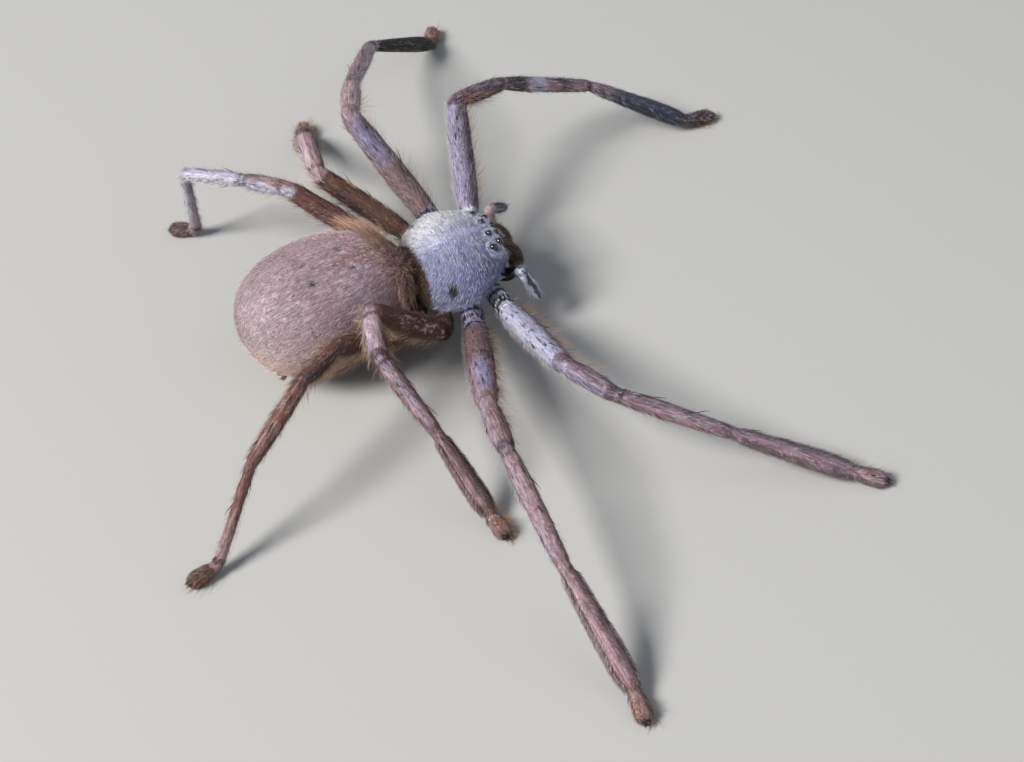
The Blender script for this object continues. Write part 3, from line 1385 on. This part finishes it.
# %% [markdown]
# ## One kind of tuft
# Each kind of hair is written down as a short list of facts: where it grows, how many, its length and
# width in millimetres, its lean off the skin in degrees, and how its colour departs from the markings
# below it. A few tufts in each are pale or dark by chance, and black marks are left black.

# %% One kind of tuft
PATCH = 0.003
TIP_RAISE = 1.3
ROOT_SHADE = 0.62
BLACK_MARK = 0.03
PALE_WEIGHT = 0.65
DARKENING = 0.3
BRIGHTEST = 0.95
TUFTS_OFF_FLOOR = 0.03
PARTING = 115


def feathered(place):
    """Turns the hair of a metatarsus aside from a parting, as the barbs of a feather leave its shaft."""
    s = place["segment"].clip(0)
    broad = (place["kind"] == CODE["metatarsus"]) & (LIMB_PAIR[place["limb"].clip(0)] < 4)
    turn = np.sign(np.cos(np.radians(place["around"] - PARTING + 90))) * 0.8 * broad
    return SEG_FRONT[s] * turn[:, None]


def tuft_colours(growth, place):
    """The markings under each tuft, tinted, with pale and dark ones mixed in."""
    colours = paint(place)
    tint, weight = growth.get("tint", (WHITE_HAIR, 0))
    if growth.get("keep_black"):
        weight = weight * above(colours.mean(1), BLACK_MARK, 0.05)
    colours = blend(colours, tint, weight)
    colours = colours * rng.lognormal(0, growth.get("mottle", 0.2), len(colours))[:, None]
    pale = (rng.random(len(colours)) < growth.get("pale", 0.08)) & (colours.mean(1) > BLACK_MARK)
    colours = blend(colours, growth.get("pale_tone", WHITE_HAIR), PALE_WEIGHT * pale)
    colours[rng.random(len(colours)) < growth.get("dark", 0.05)] *= DARKENING
    return colours


def tufts(growth):
    """One kind of tuft over part of the skin: its vertices, triangles, colours and map places."""
    count = growth["count"]
    points, normals = scatter(growth["where"], count)
    place = locate(points)
    ways = lie_of(place)
    if growth.get("parted"):
        ways = unit(ways + feathered(place))
    ways = unit(ways + rng.normal(0, growth.get("untidy", 0.16), (count, 3)))
    length = growth["length"] * rng.uniform(0.65, 1.25, count)
    width = growth["width"] * rng.uniform(0.75, 1.2, count)
    lean = growth["lean"] + rng.normal(0, growth.get("lean_spread", 5), count)
    rings = growth.get("rings", 1)
    verts, faces = blades(points, normals, ways, length, width, lean, growth.get("bend", 10), rings)
    verts[:, :, 2] = np.maximum(verts[:, :, 2], TUFTS_OFF_FLOOR)
    rise = np.repeat(np.arange(rings + 1) / rings, [3] * rings + [1])
    shades = ROOT_SHADE + (TIP_RAISE - ROOT_SHADE) * rise
    colours = (tuft_colours(growth, place)[:, None] * shades[None, :, None]).clip(0, BRIGHTEST)
    patch_v = np.array([-0.5, 0, 0.5] * rings + [0]) * PATCH
    patch = np.stack([(rise - 0.5) * PATCH, patch_v], axis=1)
    uv = unwrap(place, growth.get("strips", ()))[:, None] + patch[None]
    return verts.reshape(-1, 3), faces, colours.reshape(-1, 3), uv.reshape(-1, 2)


print("each tuft is", ROOT_SHADE, "as bright at its root and", TIP_RAISE, "at its tip")

# %% [markdown]
# ## A coat piece
# All the kinds of hair on one part of the body are fused into one mesh. It has more than a hundred
# thousand triangles, so it is filled straight from arrays, and not built face by face.

# %% A coat piece
MAP_MARGIN = 0.003


def fill_mesh(name, verts, faces):
    """A mesh object straight from arrays."""
    mesh = bpy.data.meshes.new(name)
    mesh.vertices.add(len(verts))
    mesh.vertices.foreach_set("co", (verts * MM).astype(np.float32).ravel())
    mesh.loops.add(len(faces) * 3)
    mesh.loops.foreach_set("vertex_index", faces.astype(np.int32).ravel())
    mesh.polygons.add(len(faces))
    mesh.polygons.foreach_set("loop_start", np.arange(len(faces), dtype=np.int32) * 3)
    mesh.update(calc_edges=True)
    mesh.shade_smooth()
    return new_object(name, mesh)


def grow(name, growths):
    """Fuses several kinds of tuft into one coat piece."""
    parts = [tufts(growth) for growth in growths if growth["where"].any()]
    starts = np.cumsum([0] + [len(part[0]) for part in parts])
    verts, colours, uv = (np.concatenate([part[i] for part in parts]) for i in (0, 2, 3))
    faces = np.concatenate([part[1] + start for part, start in zip(parts, starts)])
    item = fill_mesh(name, verts, faces)
    set_attribute(item.data, "markings", "FLOAT_COLOR", colours)
    low, high = uv.min(0), uv.max(0)
    uv = MAP_MARGIN + (uv - low) / (high - low) * (1 - 2 * MAP_MARGIN)
    layer = item.data.uv_layers.new(name="OFBake")
    layer.uv.foreach_set("vector", uv[faces.ravel()].astype(np.float32).ravel())
    item.data.materials.append(hair)
    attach(item, "root")
    print(name, len(faces), "triangles")


face_middles = skin_verts[skin_faces].mean(1)
over = locate(face_middles)
TOP, FORE = np.sin(np.radians(over["around"])), np.cos(np.radians(over["around"]))


def on(*names):
    return np.isin(over["kind"], [CODE[name] for name in names])


print("the abdomen has", int(on("abdomen").sum()), "triangles to grow hair on")

# %% [markdown]
# ## The shield's coat
# Short lilac and white hair lies outwards over the shield and leaves its steep brown back slope bare.
# It is densest and whitest along the rim and round the eyes, where the real spider has pale tufts.

# %% The shield's coat
WHITER = (WHITE_HAIR, 0.1)
EYE_TUFTS = (EYE_WHITE, 0.75)
SILVER = (tone("#dfe2f4"), 0.5)
SOOTY = (SOOT, 0.7)
BROWNER = (UMBER, 0.6)

shield_ahead, shield_left = over["front"][:, 0], over["front"][:, 1]
shield_share = (shield_ahead / (CARAPACE_LENGTH / 2)).clip(-0.98, 0.98)
rim_share = np.abs(shield_left) / np.maximum(carapace_half_width(shield_share), 0.6)
eye_off = np.full(len(over["kind"]), FAR_OFF)
for eye in EYES.values():
    off = np.hypot(shield_ahead - eye["ahead"], np.abs(shield_left) - eye["beside"])
    eye_off = np.minimum(eye_off, off - eye["radius"])
bare_slope = on("carapace") & rear_slope(over["front"])
haired = on("carapace") & ~bare_slope & (eye_off > 0.2)
round_eyes = haired & ((eye_off < 0.42) | (shield_ahead > 4.7) & (eye_off < 1.2))
rim = on("carapace") & (rim_share > 0.88) & ~bare_slope

grow(
    "coat_carapace",
    [
        dict(
            where=haired,
            count=22000, length=0.46, width=0.045, lean=9, untidy=0.14, tint=WHITER, keep_black=True,
            dark=0.07,
        ),
        dict(
            where=haired & (eye_off > 0.8),
            count=3200, length=0.72, width=0.055, lean=15, rings=2, untidy=0.12, tint=SILVER, keep_black=True,
            dark=0.18,
        ),
        dict(
            where=round_eyes,
            count=900, length=0.5, width=0.05, lean=30, rings=2, untidy=0.35, tint=EYE_TUFTS, dark=0.12,
        ),
        dict(
            where=rim,
            count=1500, length=0.65, width=0.045, lean=18, rings=2, tint=WHITER, keep_black=True, pale=0.12,
            dark=0.12,
        ),
        dict(where=haired, count=220, length=0.7, width=0.045, lean=30, rings=2, tint=SOOTY),
        dict(where=bare_slope, count=1500, length=0.5, width=0.045, lean=14, pale=0.02),
        dict(where=on("underbody"), count=3500, length=0.6, width=0.06, lean=24, tint=BROWNER, pale=0.02),
    ],
)

# %% [markdown]
# ## The abdomen's coat
# The abdomen is velvety: short hair lies straight back and its tips catch the light. Towards the
# flanks and the belly it grows longer and tan. A ruff of long tan hair stands round the top of the
# front rim. Two pieces keep each mesh to a size that is easy to handle.

# %% The abdomen's coat
TAWNY = (TAN_PALE, 0.2)
VELVET = (MAUVE_PALE, 0.1)
RUFF = (tone("#d6ae94"), 0.8)

belly_share = over["belly"][:, 0] / (ABDOMEN_LENGTH / 2)
belly_height = over["belly"][:, 2] / (ABDOMEN_HEIGHT / 2)
gut = on("abdomen")
ruff = gut & (belly_share > 0.6) & (belly_share < 0.9) & (belly_height > -0.3)
upper = gut & (belly_height > 0.05)
lower_front = gut & (belly_height < -0.1) & (belly_share > -0.4)

grow(
    "coat_abdomen_top",
    [
        dict(
            where=upper,
            count=34000, length=0.48, width=0.045, lean=8, untidy=0.1, tint=VELVET, pale=0.09, dark=0.06,
            mottle=0.15,
        ),
        dict(where=upper, count=1500, length=0.8, width=0.045, lean=18, rings=2, tint=VELVET, pale=0.5),
        dict(
            where=gut,
            count=2600, length=0.85, width=0.035, lean=38, rings=2, bend=14, tint=TAWNY, pale=0.3,
        ),
    ],
)
grow(
    "coat_abdomen_under",
    [
        dict(where=gut & ~upper, count=18000, length=0.6, width=0.05, lean=11, tint=TAWNY),
        dict(
            where=lower_front,
            count=3400, length=1.7, width=0.05, lean=30, rings=2, tint=TAWNY, pale=0.4, pale_tone=TAN_PALE,
        ),
        dict(
            where=ruff,
            count=1300, length=2.4, width=0.05, lean=44, bend=12, rings=3, untidy=0.13, tint=RUFF, pale=0.3,
            pale_tone=TAN_PALE,
        ),
        dict(where=on("spinnerets"), count=600, length=0.45, width=0.05, lean=25, tint=TAWNY),
    ],
)

# %% [markdown]
# ## The legs' coats
# A leg has close short hair all over, a fringe of longer hair along its front and back sides, and a
# brush under its last two segments that grips smooth walls. The femora have the longest fringes. A
# few bristles stand well clear of the rest. One loop makes the eight legs alike but for their length.

# %% The legs' coats
PALE_FRINGE = (WHITE_HAIR, 0.28)
TAN_FRINGE = (TAN_PALE, 0.65)
ORANGE_FRINGE = (ORANGE * (1 - 0.15) + TAN_PALE * 0.15, 1)
RUSTY_BRISTLES = (ORANGE * 0.75, 1)
BLACK_TUFT = (SOOT, 1)
AS_MARKED = (WHITE_HAIR, 0)
LEG_UNIT = 45.0


def leg_growths(mine, size, pair, turn):
    """The kinds of hair on one leg. mine marks its triangles, and size scales how many tufts it has."""
    beside = np.abs(TOP) < 0.6
    thigh = mine & on("femur", "patella")
    long = mine & on("femur", "patella", "tibia")
    shins = mine & on("tibia", "metatarsus")
    brush = mine & on("metatarsus") & beside & (over["along"] > 0.06) & (pair < 4)
    foot = mine & on("tarsus")
    fringed = over["along"] < np.where(on("femur"), 1, 0.5)
    hind, last_left = pair >= 3, pair == 4 and turn > 0
    soft, stray = (AS_MARKED, TAN_PALE) if hind else (PALE_FRINGE, WHITE_HAIR)
    if last_left:
        stray = LILAC_PALE
    beard = (300 if last_left else int(900 * size)) if hind else 200
    return [
        dict(
            where=mine,
            count=int(14000 * size), length=0.5, width=0.049, lean=10, parted=True,
            pale=0.04 if hind else 0.1, pale_tone=stray, dark=0.07,
        ),
        dict(
            where=long,
            count=int(800 * size), length=0.85, width=0.04, lean=22, rings=2, tint=soft, pale_tone=stray,
        ),
        dict(
            where=thigh & beside & (FORE > 0.3) & fringed,
            count=40 if hind else 230,
            length=1.5 if hind else 2.1, width=0.034, lean=44, lean_spread=14, bend=12, rings=3, untidy=0.3,
            tint=ORANGE_FRINGE, pale=0.03, dark=0.4,
        ),
        dict(
            where=long & beside & (FORE < -0.3),
            count=int(420 * size), length=1.0, width=0.04, lean=30, rings=2, tint=soft, pale=0.2,
            pale_tone=stray,
        ),
        dict(
            where=shins & beside,
            count=650 if pair == 4 else 60,
            length=0.8, width=0.04, lean=36, rings=2, untidy=0.2, pale_tone=stray,
        ),
        dict(
            where=thigh & (TOP < -0.2),
            count=beard,
            length=1.9 if hind else 1.3, width=0.05, lean=38, rings=3, untidy=0.2, tint=TAN_FRINGE, pale=0.3,
            pale_tone=TAN_PALE,
        ),
        dict(
            where=brush,
            count=int(3000 * size), length=0.8, width=0.052, lean=27, rings=2, bend=12, parted=True,
            dark=0.1, pale=0.15, pale_tone=stray,
        ),
        dict(
            where=foot,
            count=1100, length=0.55, width=0.05, lean=28, rings=2, dark=0.15, pale_tone=stray,
        ),
        dict(
            where=foot & (FORE > 0) & (TOP < 0.7),
            count=170 if pair == 3 else 50,
            length=1.4, width=0.045, lean=54, rings=3, untidy=0.25, tint=RUSTY_BRISTLES, pale=0.1,
            pale_tone=TAN_PALE,
        ),
        dict(
            where=long | brush,
            count=int(110 * size), length=1.1, width=0.04, lean=34, rings=2, tint=SOOTY,
        ),
        dict(
            where=foot & (over["along"] > 0.86),
            count=240, length=0.4, width=0.06, lean=36, tint=BLACK_TUFT,
        ),
    ]


for number, limb in enumerate(limbs):
    if limb["pair"]:
        leg_size = LIMB_LENGTH[number] / LEG_UNIT
        growths = leg_growths(over["limb"] == number, leg_size, limb["pair"], SIDES[limb["side"]])
        grow("coat_" + limb["name"], growths)

# %% [markdown]
# ## The face
# The jaws, called chelicerae, are dark and carry orange-brown bristles. The feelers, or palps, are
# whitish and streaked, with bristles that stand out towards their tips. The four limbs share one coat
# piece, each with its own strip of the flat map.

# %% The face
face_limbs = [number for number, limb in enumerate(limbs) if not limb["pair"]]
feelers = on("palp")
jaws = on("chelicera")
grow(
    "coat_face",
    [
        dict(where=feelers, count=5200, length=0.42, width=0.045, lean=14, pale=0.2, strips=face_limbs),
        dict(
            where=feelers,
            count=500, length=0.9, width=0.04, lean=34, rings=2, tint=PALE_FRINGE, dark=0.25,
            strips=face_limbs,
        ),
        dict(
            where=jaws,
            count=3000, length=0.4, width=0.045, lean=14, dark=0.25, pale=0, strips=face_limbs,
        ),
        dict(
            where=jaws,
            count=420, length=0.95, width=0.035, lean=34, rings=3, untidy=0.3, tint=ORANGE_FRINGE,
            dark=0.35, pale=0, strips=face_limbs,
        ),
    ],
)

# %% [markdown]
# ## Spines
# Huntsmen carry stout dark spines in pairs along the tibia and metatarsus and a few on the femur. They
# are slim cones that lean towards the foot. Each one's root is found on the surface by its place along
# the segment and its angle round it, as the hair's is.

# %% Spines
SPINE_TABLE = {
    "femur": ((0.44, 66), (0.62, 112), (0.8, 88), (0.45, 20), (0.7, 24), (0.6, 160)),
    "patella": ((0.5, 15), (0.5, 165)),
    "tibia": (
        (0.18, 70),
        (0.55, 80),
        (0.3, 10),
        (0.68, 14),
        (0.34, 170),
        (0.72, 166),
        (0.25, -50),
        (0.25, 230),
    ),
    "metatarsus": ((0.1, 30), (0.12, 150), (0.36, 20), (0.38, 160), (0.14, -40)),
}
SPINE_LENGTH = 1.8
SPINE_THICKNESS = 0.12
SPINE_LEAN = 20
SPINE_BEND = 5
SPINE_RINGS = 4
SPINE_SIDES = 6
SPINE_ROOT = 0.15


def joined(name, parts):
    """One smooth mesh object out of several forms."""
    item = mesh_object(name, *gather(parts))
    item.data.shade_smooth()
    return item


def spine(root, out, way, length, lean):
    """A slim round cone that leaves the skin and bends down towards the foot."""
    flat = unit(way - (way * out).sum() * out)
    beside = np.cross(flat, out)
    turns = np.arange(SPINE_SIDES) * 2 * math.pi / SPINE_SIDES
    spot = root - out * SPINE_ROOT
    verts, faces = [], [tuple(range(SPINE_SIDES))]
    for ring in range(SPINE_RINGS):
        angle = math.radians(lean - SPINE_BEND * ring)
        step = flat * math.cos(angle) + out * math.sin(angle)
        above_way = np.cross(beside, step)
        size = SPINE_THICKNESS / 2 * (1 - ring / SPINE_RINGS) ** 0.6
        verts += [spot + (beside * math.cos(turn) + above_way * math.sin(turn)) * size for turn in turns]
        spot = spot + step * (length / SPINE_RINGS)
    for low in range(0, (SPINE_RINGS - 1) * SPINE_SIDES, SPINE_SIDES):
        high = low + SPINE_SIDES
        for i in range(SPINE_SIDES):
            j = (i + 1) % SPINE_SIDES
            faces.append((low + j, low + i, high + i, high + j))
    last = (SPINE_RINGS - 1) * SPINE_SIDES
    faces += [(last + (i + 1) % SPINE_SIDES, last + i, last + SPINE_SIDES) for i in range(SPINE_SIDES)]
    return np.array([*verts, spot]), faces


rooted = []
for s in range(len(SEG_START)):
    segment_kind = KINDS[SEG_KIND[s]]
    for along, around in SPINE_TABLE.get(segment_kind, ()):
        along += rng.uniform(-0.03, 0.03)
        turn = math.radians(around + rng.uniform(-8, 8))
        out = SEG_FRONT[s] * math.cos(turn) + SEG_UP[s] * math.sin(turn)
        share = np.interp(along, *zip(*profile_of(segment_kind, LIMB_PAIR[SEG_LIMB[s]])))
        root = SEG_START[s] + SEG_WAY[s] * along * SEG_LENGTH[s] + out * (SEG_RADIUS[s] * share - COAT)
        rooted.append((root, out, SEG_WAY[s]))
spine_length = SPINE_LENGTH * rng.uniform(0.8, 1.15, len(rooted))
spine_lean = SPINE_LEAN + rng.normal(0, 6, len(rooted))
spine_forms = [spine(*facts, length, lean) for facts, length, lean in zip(rooted, spine_length, spine_lean)]
spines = joined("spines", spine_forms)
print(len(rooted), "spines")

# %% [markdown]
# ## Horn
# Spines, fangs and claws are bare cuticle, tanned hard and nearly black. It is smooth enough to shine,
# and a thin place lets a little red-brown through, which slow noise in the colour gives. The blots are
# about 0.6 mm wide on horn, and 0.2 mm in the depth of an eye.

# %% Horn
HORN_BLOT = 0.6 * MM
HORN_RELIEF = 0.02 * MM


def mottle(tree, shader, size, dark, light):
    """Links slow noise between two colours to the shader, in blots this many metres wide."""
    noise = add_node(tree, "ShaderNodeTexNoise", {"Scale": 1 / size / 3, "Detail": 2.0})
    between = {"Factor": noise.outputs["Fac"], "A": (*tone(dark), 1), "B": (*tone(light), 1)}
    mix = add_node(tree, "ShaderNodeMix", between, data_type="RGBA")
    tree.links.new(mix.outputs["Result"], shader.inputs["Base Color"])
    return noise


def horn_finish(name, dark, light, roughness):
    material, tree, shader = new_finish(name, Roughness=roughness, Specular_IOR_Level=0.5)
    noise = mottle(tree, shader, HORN_BLOT, dark, light)
    raise_relief(tree, shader, noise, 0.2, HORN_RELIEF)
    return material


spines.data.materials.append(horn_finish("spine_horn", "#1c1416", "#4a332e", 0.4))
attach(spines, "root")
print("horn is mottled in blots", round(HORN_BLOT / MM, 1), "mm wide")

# %% [markdown]
# ## Fangs and claws
# A huntsman folds its fangs inwards under its jaws. Each is a curved cone along a few points. Every
# foot ends in two small claws that hook down in front of a black tuft.

# %% Fangs and claws
FANG = ((5.45, 1.25, -4.1), (5.33, 1.24, -4.6), (4.95, 1.15, -5.2), (4.3, 0.95, -5.5), (3.6, 0.8, -5.3))
FANG_RADII = (0.44, 0.4, 0.34, 0.24, 0.04)
FANG_EASING = 8
CLAW_RADII = (0.1, 0.08, 0.015)


def curved(points, radii, count=24, sides=16):
    """A round piece along a smooth curve through a few points."""
    places = np.array([tuple(point) for point in points])
    shares = np.linspace(0, 1, len(places))
    fine = np.linspace(0, 1, count)
    path = np.stack([np.interp(fine, shares, places[:, i]) for i in range(3)], axis=1)
    thick = np.interp(fine, shares, radii)
    return tube(eased(path, FANG_EASING), eased(thick, FANG_EASING), sides=sides, flat=1.0)


fang_finish = horn_finish("fang_horn", "#120c0b", "#3a1d14", 0.18)
for side in SIDES:
    fang = joined(f"fang_{side}_fine", [curved(body_path(side, FANG), FANG_RADII)])
    fang.data.materials.append(fang_finish)
    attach(fang, "root")
    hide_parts(f"fang_{side}")

claws = []
for limb in limbs:
    if not limb["pair"]:
        continue
    ankle, toe = limb["joints"][-2:]
    way = ((toe - ankle) * Vector((1, 1, 0))).normalized()
    across = way.cross(Vector((0, 0, 1)))
    for turn in (1, -1):
        root = toe - way * 0.25 + across * turn * 0.2 + Vector((0, 0, 0.1))
        hook = [root, root + way * 0.35 + Vector((0, 0, 0.12)), root + way * 0.6 + Vector((0, 0, -0.25))]
        claws.append(curved(hook, CLAW_RADII, 12, 8))
claw_set = joined("claws", claws)
claw_set.data.materials.append(fang_finish)
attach(claw_set, "root")
print(len(claws), "claws")

# %% [markdown]
# ## Eyes
# Eight eyes stand in two rows at the front of the shield. Each is a dome of clear cuticle over black,
# so it is a smooth ball with a very glossy coat, set in the skin by half its depth.

# %% Eyes
EYE_BLOT = 0.2 * MM
eye_glass, tree, shader = new_finish(
    "eye_lens", Roughness=0.08, Specular_IOR_Level=0.6, Coat_Weight=1.0, Coat_Roughness=0.03
)
mottle(tree, shader, EYE_BLOT, "#08070a", "#1d1418")
for name, eye in EYES.items():
    for side in SIDES:
        node = f"eye_{name}_{side}"
        middle = box_middle(node)
        radius = eye["radius"]
        lens = joined(node + "_lens", [ball(lambda point: middle + point * radius, 32, 20)])
        lens.data.materials.append(eye_glass)
        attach(lens, "root")
        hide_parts(node)
print(len(EYES) * len(SIDES), "eyes")

# %% [markdown]
# ## The skin takes over
# The skin stands for all the solids of flesh, which are then hidden. It rides on the model's one body.

# %% The skin takes over
flesh = [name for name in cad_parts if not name.startswith(("eye_", "fang_"))]
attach(skin, "root")
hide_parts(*flesh)
print("the skin replaces", len(flesh), "solids")

# %% [markdown]
# ## Floor and light
# The floor is a matt pale sheet, which shows soft shadows and no shine. One large soft lamp stands
# behind the spider at its left, about 45 degrees up, and throws a soft shadow ahead of it. A wide weak
# lamp and the sky fill the dark side in.

# %% Floor and light
FLOOR_SIZE = 3
SKY_STRENGTH = 0.28

floor_finish, tree, shader = new_finish("pale_floor", Roughness=0.8, Base_Color=(*tone("#aeadaa"), 1))
bpy.ops.mesh.primitive_plane_add(size=FLOOR_SIZE)
floor = bpy.context.object
floor.name = "floor"
floor.data.materials.append(floor_finish)


def soft_lamp(name, size, energy, colour, way, distance):
    """A square lamp this far from the middle of the floor, shining the given way."""
    lamp = new_object(name, bpy.data.lights.new(name, "AREA"))
    lamp.data.size = size
    lamp.data.energy = energy
    lamp.data.color = colour
    lamp.location = -way.normalized() * distance
    lamp.rotation_euler = way.to_track_quat("-Z", "Y").to_euler()


warm, cool = (1.0, 0.98, 0.95), (0.93, 0.96, 1.0)
soft_lamp("window", size=0.32, energy=12.6, colour=warm, way=at(0.97, 0.15, -1), distance=0.9)
soft_lamp("fill", size=0.5, energy=0.6, colour=cool, way=at(-0.8, 0.55, -0.9), distance=0.5)
world = bpy.data.worlds.new("sky")
world.use_nodes = True
sky = world.node_tree.nodes["Background"]
sky.inputs["Color"].default_value = (*tone("#cfdaf0"), 1)
sky.inputs["Strength"].default_value = SKY_STRENGTH
bpy.context.scene.world = world
bpy.context.scene.view_settings.view_transform = "Standard"
print("the floor is", FLOOR_SIZE, "m wide")

# %% [markdown]
# ## Sizes
# Last, we write down the solids' box and the finished model's box. Hair and claws may stand a little
# proud of the solids, and nothing else may.

# %% Sizes
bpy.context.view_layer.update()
